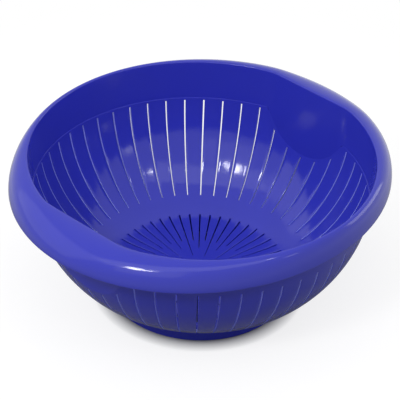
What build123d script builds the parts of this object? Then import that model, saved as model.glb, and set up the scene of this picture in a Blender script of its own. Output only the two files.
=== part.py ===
from build123d import *

import os
from math import asin, atan2, cos, degrees, hypot, radians, sin, sqrt, tan

# A strainer bowl moulded in one piece of polypropylene: a dished floor with radial slots,
# a curved wall with 52 upright slots, a plain band above them, and an oval rim rolled over
# outwards. The bowl's wall is pushed in at both ends of the oval, which leaves two finger
# handles under the rim. The bowl stands on a plain ring.
#
# The moulding is divided into the regions below, which meet face to face: foot, floor,
# four quarters of slotted wall, band, two rim sides and two handles.
#
# All lengths are in millimetres and all angles in degrees. The origin is the middle of the
# foot's resting plane, +Z is up, and the handles lie on the X axis.

# Bowl, on its inner face
floor_height = 12.0         # middle of the floor, above the table
floor_radius = 800.0        # how flat the dished floor is
knuckle_radius = 60.0       # the turn from floor to wall
wall_bulge = 24.5           # the slotted wall's radius, beyond the wall's own height
ledge_slope = 81.5          # how steep the wall is at the ledge over its slots
ledge_height = 84.0
ledge_step = 0.33           # the band's face stands this far outside the slotted one
crest_radius = 120.9        # the mouth
crest_height = 113.5
band_draft = 5.5            # how far the band leans out
wall_thickness = 2.2

# Pushed-in walls behind the handles
panel_depth = 5.1           # how far they are pushed in from the mouth's circle
panel_corner = 40.0         # the soft corner where a pushed-in wall meets the band

# Rim
handle_overhang = 19.8      # the rim's width beyond the mouth's circle, at the handles
side_overhang = 6.1         # and halfway between them
rim_drop = 18.6             # how far the rim hangs below the crest
rim_thickness = 2.0
rim_sections = 7            # ovals from the hem up to the crest
crest_bevel = 0.8           # the soft edge of the mouth
dome_margin = 0.6           # the rim's domes start this far inside the walls they leave
handle_half_width = 62.0

# Slots
slot_count = 52
wall_slot_gap = 12.3        # lower end of the wall's slots, out from the foot
wall_slot_width = 1.0       # at the mouth's radius
ledge_margin = 2.0          # solid wall between a slot and the ledge
panel_margin = 0.7          # and between a slot and a pushed-in wall
floor_slot_gap = 3.4        # outer end of the floor's slots, in from the foot
floor_slot_width = 1.1      # at that end
long_slot_start = 17.9      # inner ends of the floor's slots, from the axis
middle_slot_start = 26.7
short_slot_start = 35.4
region_gap = 4.3            # where the floor and wall regions meet, out from the foot

# Foot
foot_inset = 53.5           # outer face under the floor, in from the mouth's circle
foot_thickness = 2.2
foot_draft = 8.0

overrun = 5.0               # how far cutting shapes run past what they cut

# Worked out from the sizes above
wall_radius = ledge_height - floor_height + wall_bulge
foot_radius = crest_radius - foot_inset
floor_slot_end = foot_radius - floor_slot_gap
region_radius = foot_radius + region_gap
wall_slot_start = foot_radius + wall_slot_gap
panel_reach = crest_radius - panel_depth
rim_half_length = crest_radius + handle_overhang
rim_half_width = crest_radius + side_overhang
rim_base = crest_height - rim_thickness
hem_height = crest_height - rim_drop


def polar(radius, slope):
    """Step from an arc's centre to where the meridian has this slope."""
    return Vector(radius * sin(radians(slope)), 0, -radius * cos(radians(slope)))


def slope_between(start, end):
    """Slope of the meridian where two arcs with these centres touch."""
    return degrees(atan2(abs(end.X - start.X), abs(end.Z - start.Z)))


def find_centres():
    """Centres of the floor, knuckle and wall arcs, where the knuckle touches both others."""
    floor = Vector(0, 0, floor_height + floor_radius)
    lean = (crest_height - ledge_height) * tan(radians(band_draft))
    ledge = Vector(crest_radius - ledge_step - lean, 0, ledge_height)
    wall = ledge - polar(wall_radius, ledge_slope)
    to_floor, to_wall = floor_radius - knuckle_radius, wall_radius - knuckle_radius
    apart = (wall - floor).length
    along = (wall - floor) / apart
    reach = (to_floor**2 - to_wall**2 + apart**2) / (2 * apart)
    aside = sqrt(to_floor**2 - reach**2)
    knuckle = floor + along * reach + Vector(-along.Z, 0, along.X) * aside
    return floor, knuckle, wall


floor_centre, knuckle_centre, wall_centre = find_centres()
floor_slope = slope_between(floor_centre, knuckle_centre)
knuckle_slope = slope_between(wall_centre, knuckle_centre)


def meridian_arc(centre, radius, low, high):
    """Arc of the meridian between two slopes."""
    start, end = centre + polar(radius, low), centre + polar(radius, high)
    return ThreePointArc(start, centre + polar(radius, (low + high) / 2), end)


def bowl(offset):
    """The bowl without its pushed-in walls, as a filled solid, offset outwards."""
    floor = meridian_arc(floor_centre, floor_radius + offset, 0, floor_slope)
    knuckle = meridian_arc(knuckle_centre, knuckle_radius + offset, floor_slope, knuckle_slope)
    wall = meridian_arc(wall_centre, wall_radius + offset, knuckle_slope, 90)
    closing = Polyline(wall @ 1, (0, 0, wall_centre.Z), floor @ 0)
    return revolve(make_face([floor, knuckle, wall, closing]), Axis.Z)


def mouth_outline(offset):
    """The mouth: a circle flattened at both ends, with soft corners."""
    radius, reach, corner = crest_radius + offset, panel_reach + offset, panel_corner + offset
    centre_x = reach - corner
    centre_y = sqrt((radius - corner) ** 2 - centre_x**2)
    turn = atan2(centre_y, centre_x)
    touch = Vector(radius * cos(turn), radius * sin(turn))
    middle = Vector(centre_x + corner * cos(turn / 2), centre_y + corner * sin(turn / 2))
    corner_arc = ThreePointArc((reach, centre_y), middle, touch)
    side_arc = ThreePointArc(touch, (0, radius), (-touch.X, touch.Y))
    half = [corner_arc, side_arc, mirror(corner_arc, Plane.YZ)]
    flats = [Line((side * reach, -centre_y), (side * reach, centre_y)) for side in (-1, 1)]
    return make_face(half + [mirror(edge, Plane.XZ) for edge in half] + flats)


def mouth(offset, low, high):
    """The space inside the band between two heights, offset outwards and leaning out."""
    lean = (crest_height - low) * tan(radians(band_draft))
    face = Pos(0, 0, low) * mouth_outline(offset - lean)
    return extrude(face, amount=high - low, taper=-band_draft)


def mouth_flare():
    """The bevel round the mouth's upper edge, as a cutter."""
    face = Pos(0, 0, crest_height - crest_bevel) * mouth_outline(0)
    return extrude(face, amount=crest_bevel + dome_margin, taper=-45)


def make_walls():
    """The bowl's whole wall up to the ledge, before its slots are cut."""
    outside = bowl(wall_thickness) & mouth(wall_thickness, 0, ledge_height)
    return outside - (bowl(0) & mouth(0, 0, ledge_height + overrun))


def make_middle():
    """The middle of the bowl, bounded square to its wall outside the floor's slots."""
    slope = degrees(asin((region_radius - knuckle_centre.X) / knuckle_radius))
    inner = knuckle_centre + polar(knuckle_radius - overrun, slope)
    outer = knuckle_centre + polar(knuckle_radius + wall_thickness + overrun, slope)
    outline = Polyline((0, 0, 0), (outer.X, 0, 0), outer, inner, (0, 0, inner.Z), close=True)
    return revolve(make_face(outline), Axis.Z)


def slot_wedge(inner, outer, angle, high, turn):
    """A cutter for one radial slot, which narrows towards the axis."""
    outline = Polyline((inner, 0, 0), (outer, 0, 0), (outer, 0, high), (inner, 0, high), close=True)
    wedge = revolve(make_face(outline), Axis.Z, revolution_arc=angle)
    return wedge.rotate(Axis.Z, turn - angle / 2)


def slot_top(turn):
    """Height where a wall slot ends: just under the ledge or a pushed-in wall."""
    across, lean = abs(cos(radians(turn))), tan(radians(band_draft))
    reach = panel_reach - panel_margin - (crest_height - wall_centre.Z) * lean
    share = (reach - wall_centre.X * across) / (wall_radius * hypot(across, lean))
    slope = degrees(asin(min(share, 1)) - atan2(lean, across))
    under_panel = wall_centre.Z - wall_radius * cos(radians(slope))
    under_ledge = ledge_height - ledge_margin
    return min(under_panel, under_ledge) if share < 1 else under_ledge


def make_strainer_floor(walls, middle):
    """Dished floor with radial slots in three lengths, repeated every fourth slot."""
    starts = [long_slot_start, short_slot_start, middle_slot_start, short_slot_start]
    angle = degrees(floor_slot_width / floor_slot_end)
    high = floor_height + wall_thickness + overrun
    cutters = []
    for index in range(slot_count):
        turn = index * 360 / slot_count
        cutters.append(slot_wedge(starts[index % len(starts)], floor_slot_end, angle, high, turn))
    return (walls & middle) - cutters


def quarter(turn):
    """A quarter of the space round the axis, facing this way."""
    side, height = rim_half_length + overrun, crest_height
    block = Box(side, side, height, align=(Align.MIN, Align.MIN, Align.MIN))
    return block.rotate(Axis.Z, turn - 45)


def make_slotted_wall(walls, middle):
    """Curved wall, open in slots up to just under the ledge or a pushed-in wall."""
    angle = degrees(wall_slot_width / crest_radius)
    outer = crest_radius + overrun
    cutters = []
    for index in range(slot_count):
        turn = index * 360 / slot_count
        cutters.append(slot_wedge(wall_slot_start, outer, angle, slot_top(turn), turn))
    return walls - middle - cutters


def make_band():
    """Plain band between the ledge and the rim's underside, with both pushed-in walls."""
    return mouth(wall_thickness, ledge_height, rim_base) - mouth(0, ledge_height, rim_base)


def rim_dome(shrink, offset, top):
    """Filled dome of the rim: ovals from the hem up to the crest, on a quarter ellipse."""
    hem_x, hem_y = rim_half_length - shrink, rim_half_width - shrink
    crest_x, crest_y = panel_reach + offset - dome_margin, crest_radius + offset - dome_margin
    sections = []
    for index in range(rim_sections):
        turn = radians(90 * (1 - index / (rim_sections - 1)))
        x = crest_x + (hem_x - crest_x) * sin(turn)
        y = crest_y + (hem_y - crest_y) * sin(turn)
        sections.append(Pos(0, 0, top - rim_drop * (1 - cos(turn))) * Ellipse(x, y))
    return loft(sections)


def make_rim():
    """The whole rim: an arched skin round the mouth, open below."""
    skin = rim_dome(0, 0, crest_height) - rim_dome(rim_thickness, wall_thickness, rim_base)
    skin -= mouth(wall_thickness, hem_height - overrun, rim_base)
    return skin - mouth(0, rim_base - overrun, crest_height + overrun) - mouth_flare()


def make_foot():
    """Standing ring, wider at the top, up to the floor's underside."""
    lean = tan(radians(foot_draft))
    low = foot_radius - (floor_height + wall_thickness) * lean
    high = low + ledge_height * lean
    outline = Polyline(
        (low - foot_thickness, 0, 0), (low, 0, 0),
        (high, 0, ledge_height), (high - foot_thickness, 0, ledge_height), close=True
    )
    return revolve(make_face(outline), Axis.Z) - bowl(wall_thickness)


def handle_block(side):
    """Everything at one end of the bowl between a handle's sides; side is 1 or -1."""
    length, height = rim_half_length + overrun, crest_height + overrun
    block = Box(length, 2 * handle_half_width, height, align=(Align.MIN, Align.CENTER, Align.MIN))
    return block if side > 0 else block.rotate(Axis.Z, 180)


def side_block(side):
    """Everything on one side of the bowl, beyond the handles; side is 1 or -1."""
    length, depth = 2 * (rim_half_length + overrun), rim_half_width + overrun - handle_half_width
    block = Box(length, depth, crest_height + overrun, align=(Align.CENTER, Align.MIN, Align.MIN))
    block = Pos(0, handle_half_width, 0) * block
    return block if side > 0 else block.rotate(Axis.Z, 180)


def build():
    """Every region of the moulding, by name."""
    walls, middle, rim = make_walls(), make_middle(), make_rim()
    slotted = make_slotted_wall(walls, middle)
    return {
        "foot_ring": make_foot(),
        "strainer_floor": make_strainer_floor(walls, middle),
        "wall_right": slotted & quarter(0),
        "wall_back": slotted & quarter(90),
        "wall_left": slotted & quarter(180),
        "wall_front": slotted & quarter(270),
        "upper_band": make_band(),
        "rim_front": rim & side_block(-1),
        "rim_back": rim & side_block(1),
        "handle_right": rim & handle_block(1),
        "handle_left": rim & handle_block(-1),
    }


os.makedirs("parts", exist_ok=True)
for name, solid in build().items():
    export_step(solid, os.path.join("parts", name + ".step"))
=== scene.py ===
import math
from itertools import accumulate

import bpy
from bpy.props import FloatProperty, FloatVectorProperty, IntProperty, PointerProperty
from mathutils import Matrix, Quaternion, Vector


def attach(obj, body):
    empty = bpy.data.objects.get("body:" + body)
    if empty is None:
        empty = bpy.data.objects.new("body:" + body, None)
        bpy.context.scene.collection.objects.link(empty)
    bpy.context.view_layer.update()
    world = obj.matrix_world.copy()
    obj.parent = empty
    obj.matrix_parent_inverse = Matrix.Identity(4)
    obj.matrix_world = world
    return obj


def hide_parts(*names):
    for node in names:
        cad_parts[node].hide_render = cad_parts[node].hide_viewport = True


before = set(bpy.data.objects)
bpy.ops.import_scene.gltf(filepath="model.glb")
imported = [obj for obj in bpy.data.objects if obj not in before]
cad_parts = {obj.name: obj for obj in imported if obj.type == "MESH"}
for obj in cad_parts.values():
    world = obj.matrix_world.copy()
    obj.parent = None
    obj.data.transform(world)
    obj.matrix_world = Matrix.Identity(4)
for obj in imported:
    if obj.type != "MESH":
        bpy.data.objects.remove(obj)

bl_info = {
    "name": "Slotted Colander",
    "version": (1, 0, 0),
    "blender": (4, 5, 0),
    "location": "3D View > Sidebar > Colander",
    "description": "Builds a one-piece moulded colander and a pale studio round it",
    "category": "Add Mesh",
}

BOWL_NODES = ("strainer_floor", "wall_right", "wall_back", "wall_left", "wall_front")
RIM_NODES = ("upper_band", "rim_front", "rim_back", "handle_right", "handle_left")
FOOT_NODES = ("foot_ring",)

# How finely the pieces are meshed. A slot takes one column and the rib beside it the others
BOWL_RIB_COLUMNS = 5
RIM_RIB_COLUMNS = 10
FOOT_RIB_COLUMNS = 3
BOWL_ROWS = (4, 3, 3, 8, 6, 26, 2)          # from the middle to each start of a slot, and so on up
RIM_ROWS = (14, 5, 16, 10, 10, 14, 1)       # from the wall's top up inside, over the hem and down
FOOT_ROWS = (4, 1, 4, 12)                   # up inside, across, down outside and under
(
    LONG_ROW, MIDDLE_ROW, SHORT_ROW, FLOOR_END_ROW,     # starts and end of the floor's slots
    WALL_ROW, WALL_END_ROW, LEDGE_ROW,                  # wall's slots, and the wall's top
) = accumulate(BOWL_ROWS)
MERGE_CELLS = 0.001                         # cells of the flat grid, to close it into a solid
MERGE_DISTANCE = 1e-5                       # metres, under the finest strip of the meshes
SLACK = 0.1                                 # cells, so that rounding errors change no test
EDGE_SEGMENTS = 2                           # of each rounded edge
SHARP_ANGLE = 0.6                           # radians, where an edge counts as sharp
LEAST_LEDGE = 0.0002                        # metres, where the ledge has an edge to round
LEAST_PANEL = 0.0001                        # metres, where a wall counts as pushed in
SLOT_SOFTNESS = 0.5                         # share of the ledge's rounding that the slots get
FOOT_SINK = 0.15                            # share of the floor's thickness that the foot goes into
QUARTER_TURN = math.pi / 2
NODE_GAP = 190                              # between the nodes of a tree, as they are laid out
NODES_IN_ROW = 16

# Finish, in real sizes. A noise is its waves per metre and its detail
FLOW_NOISE = (25, 2)                        # faint unevenness of the moulding
WEAR_NOISE = (120, 4)                       # duller and shinier spots
GRAIN_NOISE = (2500, 1)                     # fine grain
TINT_SPREAD = 0.08
WEAR_SPREAD = 0.5
FLOW_SHARE = 0.8                            # of the bump's height
GRAIN_SHARE = 0.02
BUMP_HEIGHT = 0.0004                        # metres
PLASTIC_IOR = 1.49
SPECULAR_LEVEL = 0.4                        # under Blender's 0.5, as the plastic is a little dull

# Stage, in degrees, metres and watts
FLOOR_REACH = 8
# Painted shade: the floor's glow is off under the bowl and grows to full just outside the foot
PAINTED_FLOOR_SHADE_REACH = (0.065, 0.078)              # from the axis, where its glow starts and is full, after the painted shade under the bowl
FLOOR_FADE = (0.14, 0.4)                    # from the axis, where plain white starts and is full
CLIP_START = 0.05                           # of the camera
LAMP_AIM_HEIGHT = 0.06
LAMPS = (
    # name, azimuth, elevation, distance, size, power
    ("Window", -80, 43.5, 1.6, (0.22, 0.2), 5.2),
    ("Window side", -71, 42.5, 1.6, (0.07, 0.1), 0.95),
    ("Window glow", -70, 34, 2.2, (1.4, 0.9), 2.4),
    ("Window high", -54, 58, 2.2, (3.4, 0.9), 10),
    ("Right fill", 62, 12, 2.0, (1.2, 0.8), 6.5),
    ("Left fill", -145, 30, 2.2, (2.4, 1.8), 8),
    ("Front", 1, 43, 1.8, (0.04, 0.04), 0.65),
    ("Front low", 8, 19, 1.8, (0.2, 0.2), 0.3),
)


# Settings

class ColanderBowl(bpy.types.PropertyGroup):
    """Sizes of the bowl, on its inner face"""

    floor_height: FloatProperty(
        name="Floor Height", description="Middle of the floor above the table",
        default=0.012, unit="LENGTH")
    floor_radius: FloatProperty(
        name="Floor Radius", description="Radius of the dished floor's curve",
        default=0.8, unit="LENGTH")
    knuckle_radius: FloatProperty(
        name="Knuckle Radius", description="Radius of the turn from floor to wall",
        default=0.06, unit="LENGTH")
    wall_radius: FloatProperty(
        name="Wall Radius", description="Radius of the slotted wall's curve",
        default=0.0965, unit="LENGTH")
    ledge_slope: FloatProperty(
        name="Ledge Slope", description="Slope of the wall at the ledge over its slots",
        default=math.radians(81.5), subtype="ANGLE")
    ledge_height: FloatProperty(
        name="Ledge Height", description="Height of the ledge over the slots",
        default=0.084, unit="LENGTH")
    ledge_step: FloatProperty(
        name="Ledge Step", description="How far the band's face stands outside the slotted one",
        default=0.00033, unit="LENGTH")
    crest_radius: FloatProperty(
        name="Crest Radius", description="Radius of the mouth",
        default=0.1209, unit="LENGTH")
    crest_height: FloatProperty(
        name="Crest Height", description="Height of the mouth",
        default=0.1135, unit="LENGTH")
    band_draft: FloatProperty(
        name="Band Draft", description="How far the band leans out",
        default=math.radians(5.5), subtype="ANGLE")
    wall_thickness: FloatProperty(
        name="Wall Thickness", description="Thickness of every wall of the bowl",
        default=0.0022, unit="LENGTH")
    panel_depth: FloatProperty(
        name="Panel Depth", description="How far the wall is pushed in behind a handle",
        default=0.0051, unit="LENGTH")
    panel_corner: FloatProperty(
        name="Panel Corner", description="Radius of the corner beside a pushed-in wall",
        default=0.04, unit="LENGTH")


class ColanderSlots(bpy.types.PropertyGroup):
    """Sizes of the slots in the floor and the wall"""

    count: IntProperty(
        name="Slots", description="Slots round the wall, and as many in the floor",
        default=52, min=8)
    wall_start: FloatProperty(
        name="Wall Slot Start", description="Lower end of the wall's slots, from the axis",
        default=0.0797, unit="LENGTH")
    wall_width: FloatProperty(
        name="Wall Slot Width", description="Width of a wall slot, at the mouth's radius",
        default=0.001, unit="LENGTH")
    top_margin: FloatProperty(
        name="Slot Top Margin", description="Wall left between a slot and the ledge",
        default=0.002, unit="LENGTH")
    panel_margin: FloatProperty(
        name="Panel Margin", description="Wall left between a slot and a pushed-in wall",
        default=0.0007, unit="LENGTH")
    floor_end: FloatProperty(
        name="Floor Slot End", description="Outer end of the floor's slots, from the axis",
        default=0.064, unit="LENGTH")
    floor_width: FloatProperty(
        name="Floor Slot Width", description="Width of a floor slot at its outer end",
        default=0.0011, unit="LENGTH")
    long_start: FloatProperty(
        name="Long Slot Start", description="Inner end of the long floor slots",
        default=0.0179, unit="LENGTH")
    middle_start: FloatProperty(
        name="Middle Slot Start", description="Inner end of the middle floor slots",
        default=0.0267, unit="LENGTH")
    short_start: FloatProperty(
        name="Short Slot Start", description="Inner end of the short floor slots",
        default=0.0354, unit="LENGTH")
    edge_round: FloatProperty(
        name="Edge Round", description="Rounding of the ledge, of which the slots get a share",
        default=0.0003, unit="LENGTH")


class ColanderRim(bpy.types.PropertyGroup):
    """Sizes of the rolled-over rim, its handles and the foot"""

    handle_overhang: FloatProperty(
        name="Handle Overhang", description="Rim beyond the mouth's circle, at the handles",
        default=0.0198, unit="LENGTH")
    side_overhang: FloatProperty(
        name="Side Overhang", description="Rim beyond the mouth's circle, between the handles",
        default=0.0061, unit="LENGTH")
    drop: FloatProperty(
        name="Rim Drop", description="How far the rim hangs below the crest",
        default=0.0186, unit="LENGTH")
    thickness: FloatProperty(
        name="Rim Thickness", description="Thickness of the rim's skin",
        default=0.002, unit="LENGTH")
    crest_round: FloatProperty(
        name="Crest Round", description="Rounding of the mouth's upper edge",
        default=0.0013, unit="LENGTH")
    foot_radius: FloatProperty(
        name="Foot Radius", description="Outer face of the foot under the floor",
        default=0.0674, unit="LENGTH")
    foot_thickness: FloatProperty(
        name="Foot Thickness", description="Thickness of the foot's wall",
        default=0.0022, unit="LENGTH")
    foot_draft: FloatProperty(
        name="Foot Draft", description="How far the foot's wall leans out",
        default=math.radians(8), subtype="ANGLE")


class ColanderLook(bpy.types.PropertyGroup):
    """Finish of the plastic, the light painted on the slots' sides, the floor, the lamps and the
    camera
    """

    plastic_colour: FloatVectorProperty(
        name="Plastic Colour", description="Colour of the moulded plastic",
        subtype="COLOR", size=3, min=0, max=1, default=(0.029, 0.036, 0.45))
    # Painted light: the slots' sides get this lighter colour of the same plastic, in place of the
    # light that they let through and catch
    painted_light_edge_colour: FloatVectorProperty(
        name="Painted Light Edge Colour", description="Colour of the slots' thin sides, which let light through",
        subtype="COLOR", size=3, min=0, max=1, default=(0.36, 0.4, 0.88))
    plastic_roughness: FloatProperty(
        name="Plastic Roughness", description="Roughness of the moulded face",
        default=0.11, min=0, max=1)
    floor_colour: FloatVectorProperty(
        name="Floor Colour", description="Colour of the studio floor",
        subtype="COLOR", size=3, min=0, max=1, default=(0.28, 0.28, 0.28))
    floor_glow: FloatProperty(
        name="Floor Glow", description="How much whiter than lit the floor is seen",
        default=0.77, min=0)
    top_light: FloatProperty(
        name="Top Light", description="Strength of the soft light from straight above",
        default=0.95, min=0)
    side_light: FloatProperty(
        name="Side Light", description="Strength of the soft light from the horizon",
        default=0.39, min=0)
    shift: FloatProperty(
        name="Camera Shift", description="Sideways shift of the picture, as a share of its width",
        default=-0.0022)
    azimuth: FloatProperty(
        name="Camera Azimuth", description="Direction of the camera round the bowl",
        default=math.radians(-48.7), subtype="ANGLE")
    elevation: FloatProperty(
        name="Camera Elevation", description="Camera above the horizon",
        default=math.radians(35.52), subtype="ANGLE")
    roll: FloatProperty(
        name="Camera Roll", description="Turn of the camera about its line of sight",
        default=math.radians(2.11), subtype="ANGLE")
    distance: FloatProperty(
        name="Camera Distance", description="Camera from the point that it looks at",
        default=1.477, unit="LENGTH")
    aim_height: FloatProperty(
        name="Aim Height", description="Height of the point on the axis that the camera looks at",
        default=0.0741, unit="LENGTH")
    lens: FloatProperty(
        name="Lens", description="Focal length in millimetres",
        default=189, min=10)


class ColanderSettings(bpy.types.PropertyGroup):
    """Everything that a user can change"""

    bowl: PointerProperty(type=ColanderBowl)
    slots: PointerProperty(type=ColanderSlots)
    rim: PointerProperty(type=ColanderRim)
    look: PointerProperty(type=ColanderLook)


# Formulas made of math nodes

class Term:
    """A number that varies over a mesh: a socket of a node tree that Python can calculate with"""

    def __init__(self, tree, socket):
        self.tree = tree
        self.socket = socket

    def math(self, operation, *others):
        """A math node of this operation, with this term as its first input."""
        return math_node(self.tree, operation, self, *others)

    def __add__(self, other):
        return self.math("ADD", other)

    def __sub__(self, other):
        return self.math("SUBTRACT", other)

    def __mul__(self, other):
        return self.math("MULTIPLY", other)

    def __truediv__(self, other):
        return self.math("DIVIDE", other)

    def __rsub__(self, other):
        return math_node(self.tree, "SUBTRACT", other, self)

    def __rtruediv__(self, other):
        return math_node(self.tree, "DIVIDE", other, self)

    def __neg__(self):
        return self.math("MULTIPLY", -1)

    __radd__ = __add__
    __rmul__ = __mul__


def place(tree, node):
    """Puts a new node in the next free place of a simple raster."""
    number = len(tree.nodes)
    node.location = (NODE_GAP * (number % NODES_IN_ROW), -NODE_GAP * (number // NODES_IN_ROW))
    return node


def feed(tree, node_input, value):
    """Links a term to a node's input, or sets a plain value on it."""
    if isinstance(value, Term):
        tree.links.new(value.socket, node_input)
    else:
        node_input.default_value = value


def math_node(tree, operation, *values):
    """A math node with these inputs, as a term."""
    node = place(tree, tree.nodes.new("ShaderNodeMath"))
    node.operation = operation
    for node_input, value in zip(node.inputs, values):
        feed(tree, node_input, value)
    return Term(tree, node.outputs[0])


def sine(a):
    return a.math("SINE")


def cosine(a):
    return a.math("COSINE")


def tangent(a):
    return a.math("TANGENT")


def arcsine(a):
    return a.math("ARCSINE")


def arccosine(a):
    return a.math("ARCCOSINE")


def arctangent(a):
    return a.math("ARCTANGENT")


def root(a):
    return a.math("SQRT")


def size_of(a):
    return a.math("ABSOLUTE")


def least(a, b):
    return a.math("MINIMUM", b)


def most(a, b):
    return a.math("MAXIMUM", b)


def below(a, b):
    """1 where a is under b, otherwise 0."""
    return a.math("LESS_THAN", b)


def at_least(a, b):
    """1 where a is b or more, otherwise 0."""
    return 1 - below(a, b)


def same(a, b):
    """1 where two whole numbers are the same, otherwise 0."""
    return below(size_of(a - b), 0.5)


def choose(test, yes, no):
    """yes where test is 1 and no where it is 0."""
    return no + (yes - no) * test


def share_of(a, low, high):
    """0 up to low, 1 from high on, and a steady rise between them."""
    return least(most((a - low) / (high - low), 0), 1)


# The bowl's shape, as formulas

class Sizes:
    """The settings as terms: the named inputs of one node tree"""

    def __init__(self, tree, groups):
        self.values = {}
        entry = place(tree, tree.nodes.new("NodeGroupInput"))
        for group in groups:
            for key in type(group).__annotations__:
                title = group.bl_rna.properties[key].name
                value = float(getattr(group, key))
                socket = tree.interface.new_socket(
                    title, in_out="INPUT", socket_type="NodeSocketFloat")
                socket.default_value = value
                self.values[socket.identifier] = value
                setattr(self, key, Term(tree, entry.outputs[title]))


class BowlShape:
    """The bowl's surfaces as formulas of the angle round the axis"""

    def __init__(self, sizes):
        self.sizes = sizes
        self.lean = tangent(sizes.band_draft)
        self.find_centres()

    def find_centres(self):
        """Centres of the floor, knuckle and wall arcs, where the knuckle touches both others."""
        sizes = self.sizes
        self.floor = (0, sizes.floor_height + sizes.floor_radius)
        lean = (sizes.crest_height - sizes.ledge_height) * self.lean
        ledge_radius = sizes.crest_radius - sizes.ledge_step - lean
        self.wall = (
            ledge_radius - sizes.wall_radius * sine(sizes.ledge_slope),
            sizes.ledge_height + sizes.wall_radius * cosine(sizes.ledge_slope),
        )
        to_floor = sizes.floor_radius - sizes.knuckle_radius
        to_wall = sizes.wall_radius - sizes.knuckle_radius
        across, up = self.wall[0], self.wall[1] - self.floor[1]
        apart = root(across * across + up * up)
        reach = (to_floor * to_floor - to_wall * to_wall + apart * apart) / (apart * 2)
        aside = root(to_floor * to_floor - reach * reach)
        self.knuckle = (
            (across * reach - up * aside) / apart,
            self.floor[1] + (up * reach + across * aside) / apart,
        )
        self.floor_slope = arcsine(self.knuckle[0] / to_floor)
        self.knuckle_slope = arcsine((self.knuckle[0] - self.wall[0]) / to_wall)

    def slope_at(self, radius):
        """Slope of the inner face at this distance from the axis, on the floor or the knuckle."""
        sizes = self.sizes
        on_floor = below(radius, sizes.floor_radius * sine(self.floor_slope))
        floor_slope = arcsine(radius / sizes.floor_radius)
        knuckle_slope = arcsine((radius - self.knuckle[0]) / sizes.knuckle_radius)
        return choose(on_floor, floor_slope, knuckle_slope)

    def meridian(self, slope, outset):
        """Radius and height of the round wall at a slope, at this depth in its thickness."""
        sizes = self.sizes
        on_floor = below(slope, self.floor_slope)
        on_knuckle = below(slope, self.knuckle_slope)

        def of_arc(floor, knuckle, wall):
            return choose(on_floor, floor, choose(on_knuckle, knuckle, wall))

        centre_x = of_arc(self.floor[0], self.knuckle[0], self.wall[0])
        centre_z = of_arc(self.floor[1], self.knuckle[1], self.wall[1])
        curve = of_arc(sizes.floor_radius, sizes.knuckle_radius, sizes.wall_radius) + outset
        return centre_x + curve * sine(slope), centre_z - curve * cosine(slope)

    def mouth(self, turn, height, outset):
        """Distance from the axis to the band or a pushed-in wall, and its growth per outset."""
        # Each pushed-in wall is flat, and a round corner joins it to the mouth's circle
        sizes = self.sizes
        across, aside = size_of(cosine(turn)), size_of(sine(turn))
        shift = (height - sizes.crest_height) * self.lean + outset
        reach = sizes.crest_radius - sizes.panel_depth + shift
        corner = sizes.panel_corner + shift
        corner_x = sizes.crest_radius - sizes.panel_depth - sizes.panel_corner
        to_corner = sizes.crest_radius - sizes.panel_corner
        corner_y = root(to_corner * to_corner - corner_x * corner_x)
        miss = corner_x * aside - corner_y * across
        chord = root(corner * corner - miss * miss)
        is_flat = below(reach * aside, corner_y * across)
        is_side = below(corner_y * across, corner_x * aside)
        in_corner = corner_x * across + corner_y * aside + chord
        on_side = sizes.crest_radius + shift
        distance = choose(is_flat, reach / across, choose(is_side, on_side, in_corner))
        growth = choose(is_flat, 1 / across, choose(is_side, 1, corner / chord))
        return distance, growth

    def crease(self, turn, outset, margin=0, top_margin=0):
        """Slope where the round wall ends, at a pushed-in wall or at the ledge."""
        sizes = self.sizes
        distance, growth = self.mouth(turn, sizes.ledge_height, outset)
        lean = growth * self.lean
        curve = sizes.wall_radius + outset
        rise = self.wall[1] - sizes.ledge_height
        band_lean = (sizes.crest_height - sizes.ledge_height) * self.lean
        share = (distance - margin + lean * rise - self.wall[0]) / curve
        meeting = arcsine(least(share / root(lean * lean + 1), 1)) - arctangent(lean)
        in_panel = below(distance, sizes.crest_radius - band_lean + outset - LEAST_PANEL)
        ledge = arccosine((rise + top_margin) / curve)
        return least(choose(in_panel, meeting, ledge), ledge)


def find_sector(column, rib_columns):
    """Number of the sector that a column is in, one for each slot, and its number in there."""
    sector = ((column + SLACK) / (rib_columns + 1)).math("FLOOR")
    return sector, column - sector * (rib_columns + 1)


def find_turn(column, rib_columns, half_slot, count):
    """Angle round the axis of a column of the mesh: one column spans each slot."""
    sector, number = find_sector(column, rib_columns)
    pitch = 2 * math.pi / count
    rib = half_slot + (number - 1) * (pitch - half_slot * 2) / rib_columns
    return sector * pitch + choose(same(number, 0), -half_slot, rib)


def climb(row, keys, counts):
    """A value that passes through the keys, with this many rows between each two."""
    value, first = keys[0], 0
    for start, end, count in zip(keys, keys[1:], counts):
        value = value + share_of(row, first, first + count) * (end - start)
        first += count
    return value


# Geometry Nodes

def step(tree, node_type, geometry, settings=None, **inputs):
    """Adds a geometry node after this geometry and returns what comes out of it."""
    node = place(tree, tree.nodes.new(node_type))
    for key, value in (settings or {}).items():
        setattr(node, key, value)
    if geometry is not None:
        tree.links.new(geometry, node.inputs[0])
    for key, value in inputs.items():
        feed(tree, node.inputs[key.replace("_", " ")], value)
    return node.outputs[0]


def whereabouts(tree, columns, rows):
    """Column, row and layer of a point of the flat grid that a piece starts from."""
    position = place(tree, tree.nodes.new("GeometryNodeInputPosition"))
    split = place(tree, tree.nodes.new("ShaderNodeSeparateXYZ"))
    tree.links.new(position.outputs[0], split.inputs[0])
    x, y, z = (Term(tree, output) for output in split.outputs)
    return x + columns / 2, y + rows / 2, z


def flat_grid(tree, columns, rows):
    """A flat grid with cells of unit size."""
    return step(
        tree, "GeometryNodeMeshGrid", None,
        Size_X=columns, Size_Y=rows, Vertices_X=columns + 1, Vertices_Y=rows + 1)


def join(tree, *geometries):
    """All these geometries as one."""
    node = place(tree, tree.nodes.new("GeometryNodeJoinGeometry"))
    for geometry in geometries:
        tree.links.new(geometry, node.inputs[0])
    return node.outputs[0]


def delete_faces(tree, geometry, test):
    """The geometry without the faces where this term is 1."""
    return step(tree, "GeometryNodeDeleteGeometry", geometry, {"domain": "FACE"}, Selection=test)


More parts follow.
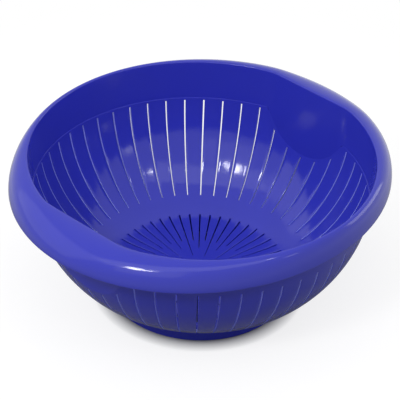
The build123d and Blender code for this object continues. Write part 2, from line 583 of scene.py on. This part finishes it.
def store(tree, geometry, domain, name, value):
    """The geometry with this term kept on it under a name."""
    return step(
        tree, "GeometryNodeStoreNamedAttribute", geometry,
        {"data_type": "FLOAT", "domain": domain}, Name=name, Value=value)


def stored(tree, name):
    """A term that was kept on the geometry under this name."""
    node = place(tree, tree.nodes.new("GeometryNodeInputNamedAttribute"))
    node.data_type = "FLOAT"
    node.inputs["Name"].default_value = name
    return Term(tree, node.outputs["Attribute"])


def wrap(tree, geometry, turn, radius, height):
    """Moves every point to its angle, radius and height round the axis."""
    node = place(tree, tree.nodes.new("ShaderNodeCombineXYZ"))
    feed(tree, node.inputs["X"], radius * cosine(turn))
    feed(tree, node.inputs["Y"], radius * sine(turn))
    feed(tree, node.inputs["Z"], height)
    moved = step(tree, "GeometryNodeSetPosition", geometry, Position=Term(tree, node.outputs[0]))
    return step(tree, "GeometryNodeMergeByDistance", moved, Distance=MERGE_DISTANCE)


def weigh_edges(tree, geometry):
    """Marks the sharp edges for rounding, each with its points' share of the full width."""
    angle = place(tree, tree.nodes.new("GeometryNodeInputMeshEdgeAngle"))
    sharp = at_least(Term(tree, angle.outputs["Unsigned Angle"]), SHARP_ANGLE)
    return store(tree, geometry, "EDGE", "bevel_weight_edge", sharp * stored(tree, "softness"))


def end_tree(tree, geometry, material, painted_light_side_material=None):
    """Ends a tree: a plain mesh with its material, and a lighter copy of it on the slots' sides, as
    painted light.
    """
    tree.interface.new_socket("Geometry", in_out="OUTPUT", socket_type="NodeSocketGeometry")
    smooth = step(tree, "GeometryNodeSetShadeSmooth", geometry)
    realized = step(tree, "GeometryNodeRealizeInstances", smooth)
    node = place(tree, tree.nodes.new("GeometryNodeSetMaterial"))
    node.inputs["Material"].default_value = material
    tree.links.new(realized, node.inputs["Geometry"])
    painted = node.outputs[0]
    # The slots' sides get the lighter material, which paints light on them
    if painted_light_side_material:
        painted = step(
            tree, "GeometryNodeSetMaterial", painted,
            Selection=stored(tree, "painted_light_slot_side"), Material=painted_light_side_material)
    exit_node = place(tree, tree.nodes.new("NodeGroupOutput"))
    tree.links.new(painted, exit_node.inputs[0])


def cut_slots(tree, sheet, column, row):
    """The flat sheet without the faces where the bowl has its slots."""
    # The floor's slots go long, short, middle, short, and so on round the bowl
    sector, number = find_sector(column, BOWL_RIB_COLUMNS)
    short, middle = sector.math("MODULO", 2), same(sector.math("MODULO", 4), 2)
    first = LONG_ROW + short * (SHORT_ROW - LONG_ROW) + middle * (MIDDLE_ROW - LONG_ROW)
    in_slot = below(number, 1)
    in_floor = at_least(row, first) * below(row, FLOOR_END_ROW)
    in_wall = at_least(row, WALL_ROW) * below(row, WALL_END_ROW)
    return delete_faces(tree, sheet, in_slot * (in_floor + in_wall))


def thicken(tree, sheet, columns, column, row):
    """The flat sheet as a solid of one layer, open where it will meet itself."""
    up = place(tree, tree.nodes.new("ShaderNodeCombineXYZ"))
    up.inputs["Z"].default_value = 1
    raised = step(
        tree, "GeometryNodeExtrudeMesh", sheet,
        Offset=Term(tree, up.outputs[0]), Offset_Scale=1.0, Individual=False)
    under = step(tree, "GeometryNodeFlipFaces", sheet)
    solid = join(tree, raised, under)
    solid = step(tree, "GeometryNodeMergeByDistance", solid, Distance=MERGE_CELLS)
    at_seam = at_least(size_of(column - columns / 2), columns / 2 - SLACK)
    return delete_faces(tree, solid, most(at_seam, below(row, SLACK)))


def bowl_tree(tree, sizes, *materials):
    """Dished floor and slotted wall, as one skin with its thickness and its slots."""
    shape = BowlShape(sizes)
    columns = sizes.count * (BOWL_RIB_COLUMNS + 1)
    column, row, layer = whereabouts(tree, columns, LEDGE_ROW)
    sheet = cut_slots(tree, flat_grid(tree, columns, LEDGE_ROW), column, row)
    solid = thicken(tree, sheet, columns, column, row)
    is_upright = below(size_of(layer - 0.5), 0.5 - SLACK)
    on_wall = at_least(row, WALL_ROW - SLACK) * below(row, LEDGE_ROW - SLACK)
    # The upright sides of the wall's slots, which get the lighter material of painted light
    solid = store(tree, solid, "FACE", "painted_light_slot_side", is_upright * on_wall)

    floor_slot = sizes.floor_width / sizes.floor_end / 2
    wall_slot = sizes.wall_width / sizes.crest_radius / 2
    widening = (FLOOR_END_ROW, WALL_ROW - FLOOR_END_ROW)
    half_slot = climb(row, [floor_slot, floor_slot, wall_slot], widening)
    turn = find_turn(column, BOWL_RIB_COLUMNS, half_slot, sizes.count)
    outset = layer * sizes.wall_thickness
    top = shape.crease(turn, outset)
    slot_top = shape.crease(turn, outset, sizes.panel_margin, sizes.top_margin)
    slope = climb(row, [
        0, shape.slope_at(sizes.long_start), shape.slope_at(sizes.middle_start),
        shape.slope_at(sizes.short_start), shape.slope_at(sizes.floor_end),
        shape.slope_at(sizes.wall_start), slot_top, top], BOWL_ROWS)
    radius, height = shape.meridian(slope, outset)

    # The ledge gets all of the rounding, but only inside and where the band stands back from it
    open_ledge = at_least(shape.mouth(turn, height, 0)[0] - radius, LEAST_LEDGE)
    softness = choose(below(row, LEDGE_ROW - SLACK), SLOT_SOFTNESS, open_ledge * (1 - layer))
    solid = store(tree, solid, "POINT", "softness", softness)
    solid = wrap(tree, solid, turn, radius, height)
    end_tree(tree, weigh_edges(tree, solid), *materials)


def tube_tree(tree, sizes, rib_columns, counts, find_zones, material):
    """A skin all round the axis whose section is a closed loop of zones."""
    columns, rows = sizes.count * (rib_columns + 1), sum(counts)
    column, row, _ = whereabouts(tree, columns, rows)
    half_slot = sizes.wall_width / sizes.crest_radius / 2
    turn = find_turn(column, rib_columns, half_slot, sizes.count)
    radius, height, last = 0, 0, rows
    # From the last zone back to the first, as each one takes over below its last row
    for section, count in reversed(list(zip(find_zones(sizes, turn), counts))):
        zone_radius, zone_height = section(share_of(row, last - count, last))
        in_zone = below(row, last + SLACK)
        radius = choose(in_zone, zone_radius, radius)
        height = choose(in_zone, zone_height, height)
        last -= count
    skin = step(tree, "GeometryNodeFlipFaces", flat_grid(tree, columns, rows))
    end_tree(tree, wrap(tree, skin, turn, radius, height), material)


def between(start, end):
    """A zone on a straight line between two points of the section."""
    return lambda share: tuple(a + share * (b - a) for a, b in zip(start, end))


def rim_zones(sizes, turn):
    """Section of the band and rim: up inside, over the dome, round the hem and back."""
    shape = BowlShape(sizes)
    crest, curl, edge = sizes.crest_height, sizes.crest_round, sizes.thickness / 2
    across = cosine(turn) / (sizes.crest_radius + sizes.handle_overhang)
    aside = sine(turn) / (sizes.crest_radius + sizes.side_overhang)
    hem_radius = 1 / root(across * across + aside * aside)
    mouth_radius = shape.mouth(turn, crest - curl, 0)[0]
    under_crest = crest - sizes.thickness
    under_radius = shape.mouth(turn, under_crest, sizes.wall_thickness)[0]
    ends = []
    for outset in (0, sizes.wall_thickness):
        height = shape.meridian(shape.crease(turn, outset), outset)[1]
        ends.append((shape.mouth(turn, height, outset)[0], height))

    def face(outset, start, end):
        def section(share):
            height = start + share * (end - start)
            return shape.mouth(turn, height, outset)[0], height
        return section

    def curled_crest(share):
        angle = share * QUARTER_TURN
        return mouth_radius + curl * (1 - cosine(angle)), crest - curl * (1 - sine(angle))

    def dome(share):
        angle, start = share * QUARTER_TURN, mouth_radius + curl
        reach = hem_radius - start
        return start + reach * sine(angle), crest - (sizes.drop - edge) * (1 - cosine(angle))

    def hem(share):
        angle = share * math.pi
        height = crest - sizes.drop + edge * (1 - sine(angle))
        return hem_radius - edge * (1 - cosine(angle)), height

    def under_dome(share):
        angle, reach = share * QUARTER_TURN, hem_radius - sizes.thickness - under_radius
        rise = sizes.drop - edge - sizes.thickness
        return under_radius + reach * cosine(angle), crest - sizes.drop + edge + rise * sine(angle)

    inside = face(0, ends[0][1], crest - curl)
    outside = face(sizes.wall_thickness, under_crest, ends[1][1])
    return inside, curled_crest, dome, hem, under_dome, outside, between(ends[1], ends[0])


def rim_tree(tree, sizes, material):
    """Band, pushed-in walls and rolled-over rim with its handles, as one skin."""
    tube_tree(tree, sizes, RIM_RIB_COLUMNS, RIM_ROWS, rim_zones, material)


def foot_zones(sizes, _turn):
    """Section of the foot: up inside, across under the floor, down outside and under."""
    shape = BowlShape(sizes)
    half = sizes.foot_thickness / 2
    top = sizes.floor_height + sizes.wall_thickness
    middle = sizes.foot_radius - half - top * tangent(sizes.foot_draft)

    def corner(radius):
        curve = sizes.knuckle_radius + sizes.wall_thickness * (1 - FOOT_SINK)
        slope = arcsine((radius - shape.knuckle[0]) / curve)
        return radius, shape.knuckle[1] - curve * cosine(slope)

    def standing(share):
        # A superellipse of the fourth power, so that the ring stands on a flat edge
        angle = share * math.pi
        level = cosine(angle) * cosine(angle)
        height = half * (1 - root(root(1 - level * level)))
        return middle + half * cosine(angle), height

    inner_top, outer_top = corner(sizes.foot_radius - half * 2), corner(sizes.foot_radius)
    inner_low, outer_low = (middle - half, half), (middle + half, half)
    return (
        between(inner_low, inner_top), between(inner_top, outer_top),
        between(outer_top, outer_low), standing,
    )


def foot_tree(tree, sizes, material):
    """Standing ring under the floor, as one skin."""
    tube_tree(tree, sizes, FOOT_RIB_COLUMNS, FOOT_ROWS, foot_zones, material)


def make_piece(name, build_tree, settings, materials, nodes, edge_round=None):
    """Grows a piece in Geometry Nodes, makes a plain mesh of it and sets it in the frame."""
    tree = bpy.data.node_groups.new(name, "GeometryNodeTree")
    tree.is_modifier = True
    sizes = Sizes(tree, (settings.bowl, settings.slots, settings.rim))
    build_tree(tree, sizes, *materials)
    piece = bpy.data.objects.new(name, bpy.data.meshes.new(name))
    bpy.context.scene.collection.objects.link(piece)
    grow = piece.modifiers.new("Shape", "NODES")
    grow.node_group = tree
    for identifier, value in sizes.values.items():
        grow[identifier] = value
    if edge_round:
        bevel = piece.modifiers.new("Edges", "BEVEL")
        bevel.limit_method = "WEIGHT"
        bevel.width = edge_round
        bevel.segments = EDGE_SEGMENTS
    evaluated = piece.evaluated_get(bpy.context.evaluated_depsgraph_get())
    mesh = bpy.data.meshes.new_from_object(evaluated)
    piece.modifiers.clear()
    piece.data = mesh
    for attribute in ("softness", "painted_light_slot_side", "bevel_weight_edge"):
        if attribute in mesh.attributes:
            mesh.attributes.remove(mesh.attributes[attribute])
    mesh.set_sharp_from_angle(angle=SHARP_ANGLE)
    if not mesh.polygons:
        raise RuntimeError(name + " came out without faces")
    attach(piece, "root")
    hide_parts(*nodes)


# Materials

def new_material(name):
    """An empty material with its output node."""
    material = bpy.data.materials.new(name)
    material.use_nodes = True
    material.node_tree.nodes.clear()
    return material, material.node_tree


def moulding_group():
    """Shader group: how moulded plastic varies over its face, in real sizes."""
    group = bpy.data.node_groups.get("Moulded Plastic")
    if group:
        return group
    group = bpy.data.node_groups.new("Moulded Plastic", "ShaderNodeTree")
    for title, kind in (("Colour", "Color"), ("Roughness", "Float")):
        group.interface.new_socket(title, in_out="INPUT", socket_type="NodeSocket" + kind)
    for title, kind in (("Colour", "Color"), ("Roughness", "Float"), ("Height", "Float")):
        group.interface.new_socket(title, in_out="OUTPUT", socket_type="NodeSocket" + kind)
    nodes, links = group.nodes, group.links
    entry = place(group, nodes.new("NodeGroupInput"))
    coordinates = place(group, nodes.new("ShaderNodeTexCoord"))

    def noise(scale, detail):
        """Noise in the object's own metres."""
        node = place(group, nodes.new("ShaderNodeTexNoise"))
        node.inputs["Scale"].default_value = scale
        node.inputs["Detail"].default_value = detail
        links.new(coordinates.outputs["Object"], node.inputs["Vector"])
        return Term(group, node.outputs[0])

    flow, wear, grain = noise(*FLOW_NOISE), noise(*WEAR_NOISE), noise(*GRAIN_NOISE)
    tint = place(group, nodes.new("ShaderNodeHueSaturation"))
    links.new(entry.outputs["Colour"], tint.inputs["Color"])
    feed(group, tint.inputs["Value"], 1 + (flow - 0.5) * TINT_SPREAD)
    exit_node = place(group, nodes.new("NodeGroupOutput"))
    links.new(tint.outputs[0], exit_node.inputs["Colour"])
    roughness = Term(group, entry.outputs["Roughness"])
    feed(group, exit_node.inputs["Roughness"], roughness * (1 + (wear - 0.5) * WEAR_SPREAD))
    feed(group, exit_node.inputs["Height"], flow * FLOW_SHARE + grain * GRAIN_SHARE)
    return group


def moulded_material(name, colour, roughness):
    """Glossy coloured plastic, as it comes out of a polished mould."""
    material = bpy.data.materials.get(name)
    if material:
        return material
    material, tree = new_material(name)
    group = place(tree, tree.nodes.new("ShaderNodeGroup"))
    group.node_tree = moulding_group()
    group.inputs["Colour"].default_value = (*colour, 1)
    group.inputs["Roughness"].default_value = roughness
    bump = place(tree, tree.nodes.new("ShaderNodeBump"))
    bump.inputs["Distance"].default_value = BUMP_HEIGHT
    shader = place(tree, tree.nodes.new("ShaderNodeBsdfPrincipled"))
    shader.inputs["IOR"].default_value = PLASTIC_IOR
    shader.inputs["Specular IOR Level"].default_value = SPECULAR_LEVEL
    output = place(tree, tree.nodes.new("ShaderNodeOutputMaterial"))
    tree.links.new(group.outputs["Height"], bump.inputs["Height"])
    tree.links.new(group.outputs["Colour"], shader.inputs["Base Color"])
    tree.links.new(group.outputs["Roughness"], shader.inputs["Roughness"])
    tree.links.new(bump.outputs[0], shader.inputs["Normal"])
    tree.links.new(shader.outputs[0], output.inputs["Surface"])
    return material


def plastic_material(look):
    """The plastic of the whole moulding."""
    return moulded_material("Violet-blue plastic", look.plastic_colour, look.plastic_roughness)


def painted_light_edge_material(look):
    """The slots' sides: the same plastic in a lighter colour, as painted light in place of the
    light that comes through the slots.
    """
    return moulded_material("Slot sides with painted light", look.painted_light_edge_colour, look.plastic_roughness)


def sees_backdrop(tree):
    """1 for the rays that see the backdrop: camera rays, mirror rays and those through glass."""
    path = place(tree, tree.nodes.new("ShaderNodeLightPath"))
    seen = Term(tree, path.outputs["Is Camera Ray"])
    for ray in ("Is Glossy Ray", "Is Transmission Ray"):
        seen = most(seen, Term(tree, path.outputs[ray]))
    return seen


def floor_material(look):
    """Pale floor that keeps its own shadow close to the object, with painted shade under the bowl
    where its glow fades out, and is white further out.
    """
    material, tree = new_material("Studio floor")
    coordinates = place(tree, tree.nodes.new("ShaderNodeTexCoord"))
    distance = place(tree, tree.nodes.new("ShaderNodeVectorMath"))
    distance.operation = "LENGTH"
    tree.links.new(coordinates.outputs["Object"], distance.inputs[0])
    white = place(tree, tree.nodes.new("ShaderNodeEmission"))
    pale = place(tree, tree.nodes.new("ShaderNodeBsdfDiffuse"))
    pale.inputs["Color"].default_value = (*look.floor_colour, 1)
    glow = place(tree, tree.nodes.new("ShaderNodeEmission"))
    lit = place(tree, tree.nodes.new("ShaderNodeAddShader"))
    reach = Term(tree, distance.outputs["Value"])
    path = place(tree, tree.nodes.new("ShaderNodeLightPath"))
    # The camera's glow fades out towards the foot, which paints shade on the floor under the bowl
    # and round the foot
    camera_glow_past_painted_shade = Term(tree, path.outputs["Is Camera Ray"]) * share_of(reach, *PAINTED_FLOOR_SHADE_REACH)
    feed(tree, glow.inputs["Strength"], camera_glow_past_painted_shade * look.floor_glow)
    tree.links.new(pale.outputs[0], lit.inputs[0])
    tree.links.new(glow.outputs[0], lit.inputs[1])
    far = share_of(reach, *FLOOR_FADE) * sees_backdrop(tree)
    mix = place(tree, tree.nodes.new("ShaderNodeMixShader"))
    feed(tree, mix.inputs[0], far)
    tree.links.new(lit.outputs[0], mix.inputs[1])
    tree.links.new(white.outputs[0], mix.inputs[2])
    output = place(tree, tree.nodes.new("ShaderNodeOutputMaterial"))
    tree.links.new(mix.outputs[0], output.inputs["Surface"])
    return material


# Stage

def add_object(name, data):
    """A new object in the scene."""
    thing = bpy.data.objects.new(name, data)
    bpy.context.scene.collection.objects.link(thing)
    return thing


def add_floor(look):
    """Wide flat floor under the foot."""
    mesh = bpy.data.meshes.new("Studio floor")
    corners = [
        (x * FLOOR_REACH, y * FLOOR_REACH, 0)
        for x, y in ((-1, -1), (1, -1), (1, 1), (-1, 1))]
    mesh.from_pydata(corners, [], [(0, 1, 2, 3)])
    mesh.materials.append(floor_material(look))
    add_object("studio_floor", mesh)


def light_world(look):
    """Soft light, stronger from above than from the side. The world itself is seen as white."""
    world = bpy.data.worlds.new("Studio")
    bpy.context.scene.world = world
    world.use_nodes = True
    tree = world.node_tree
    tree.nodes.clear()
    background = place(tree, tree.nodes.new("ShaderNodeBackground"))
    background.inputs["Color"].default_value = (1, 1, 1, 1)
    coordinates = place(tree, tree.nodes.new("ShaderNodeTexCoord"))
    split = place(tree, tree.nodes.new("ShaderNodeSeparateXYZ"))
    tree.links.new(coordinates.outputs["Generated"], split.inputs[0])
    # The third power keeps the stronger light round the top
    above = most(Term(tree, split.outputs["Z"]), 0)
    soft = look.side_light + above * above * above * (look.top_light - look.side_light)
    feed(tree, background.inputs["Strength"], choose(sees_backdrop(tree), 1, soft))
    output = place(tree, tree.nodes.new("ShaderNodeOutputWorld"))
    tree.links.new(background.outputs[0], output.inputs["Surface"])


def point_from(azimuth, elevation):
    """Unit vector from the bowl: azimuth 0 is towards -Y, and a quarter turn on is +X."""
    level = math.cos(elevation)
    return Vector((
        math.sin(azimuth) * level, -math.cos(azimuth) * level, math.sin(elevation)))


def add_lamp(name, azimuth, elevation, distance, size, power):
    """Soft area lamp that faces the bowl from this direction."""
    lamp = bpy.data.lights.new(name, "AREA")
    lamp.shape = "RECTANGLE"
    lamp.size, lamp.size_y = size
    lamp.energy = power
    thing = add_object(name, lamp)
    direction = point_from(math.radians(azimuth), math.radians(elevation))
    thing.location = direction * distance + Vector((0, 0, LAMP_AIM_HEIGHT))
    thing.rotation_euler = direction.to_track_quat("Z", "Y").to_euler()


def add_camera(look):
    """Camera at the photograph's distance, height and tilt."""
    data = bpy.data.cameras.new("Camera")
    data.lens = look.lens
    data.clip_start = CLIP_START
    data.shift_x = look.shift
    camera = add_object("Camera", data)
    back = point_from(look.azimuth, look.elevation)
    camera.location = Vector((0, 0, look.aim_height)) + back * look.distance
    camera.rotation_mode = "QUATERNION"
    camera.rotation_quaternion = back.to_track_quat("Z", "Y") @ Quaternion((0, 0, 1), look.roll)
    bpy.context.scene.camera = camera


# Operators

class ColanderMakeBowl(bpy.types.Operator):
    """Build the dished floor and the slotted wall"""

    bl_idname = "colander.make_bowl"
    bl_label = "Make Bowl"

    def execute(self, context):
        settings = context.scene.colander
        look = settings.look
        # The second material paints light on the slots' sides
        materials = (plastic_material(look), painted_light_edge_material(look))
        make_piece(
            "slotted_bowl", bowl_tree, settings, materials, BOWL_NODES,
            settings.slots.edge_round)
        return {"FINISHED"}


class ColanderMakeRim(bpy.types.Operator):
    """Build the band, the pushed-in walls and the rim with its handles"""

    bl_idname = "colander.make_rim"
    bl_label = "Make Rim"

    def execute(self, context):
        settings = context.scene.colander
        materials = [plastic_material(settings.look)]
        make_piece("rim_and_handles", rim_tree, settings, materials, RIM_NODES)
        return {"FINISHED"}


class ColanderMakeFoot(bpy.types.Operator):
    """Build the standing ring"""

    bl_idname = "colander.make_foot"
    bl_label = "Make Foot"

    def execute(self, context):
        settings = context.scene.colander
        materials = [plastic_material(settings.look)]
        make_piece("standing_ring", foot_tree, settings, materials, FOOT_NODES)
        return {"FINISHED"}


class ColanderSetStage(bpy.types.Operator):
    """Set the floor, the light and the camera"""

    bl_idname = "colander.set_stage"
    bl_label = "Set Stage"

    def execute(self, context):
        look = context.scene.colander.look
        add_floor(look)
        light_world(look)
        for lamp in LAMPS:
            add_lamp(*lamp)
        add_camera(look)
        context.scene.view_settings.view_transform = "Standard"
        return {"FINISHED"}


class ColanderPanel(bpy.types.Panel):
    """Lists the steps and the settings in the 3D view's sidebar"""

    bl_idname = "VIEW3D_PT_colander"
    bl_label = "Slotted Colander"
    bl_space_type = "VIEW_3D"
    bl_region_type = "UI"
    bl_category = "Colander"

    def draw(self, context):
        for operator in OPERATORS:
            self.layout.operator(operator.bl_idname)
        settings = context.scene.colander
        for key in ("bowl", "slots", "rim", "look"):
            box = self.layout.box()
            group = getattr(settings, key)
            for name in type(group).__annotations__:
                box.prop(group, name)


OPERATORS = (ColanderMakeBowl, ColanderMakeRim, ColanderMakeFoot, ColanderSetStage)
CLASSES = (
    ColanderBowl, ColanderSlots, ColanderRim, ColanderLook, ColanderSettings,
    *OPERATORS, ColanderPanel,
)


def register():
    for item in CLASSES:
        bpy.utils.register_class(item)
    bpy.types.Scene.colander = PointerProperty(type=ColanderSettings)


def unregister():
    del bpy.types.Scene.colander
    for item in reversed(CLASSES):
        bpy.utils.unregister_class(item)


def main():
    """Builds everything."""
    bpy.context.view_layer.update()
    register()
    bpy.ops.colander.make_bowl()
    bpy.ops.colander.make_rim()
    bpy.ops.colander.make_foot()
    bpy.ops.colander.set_stage()


if __name__ == "__main__":
    main()
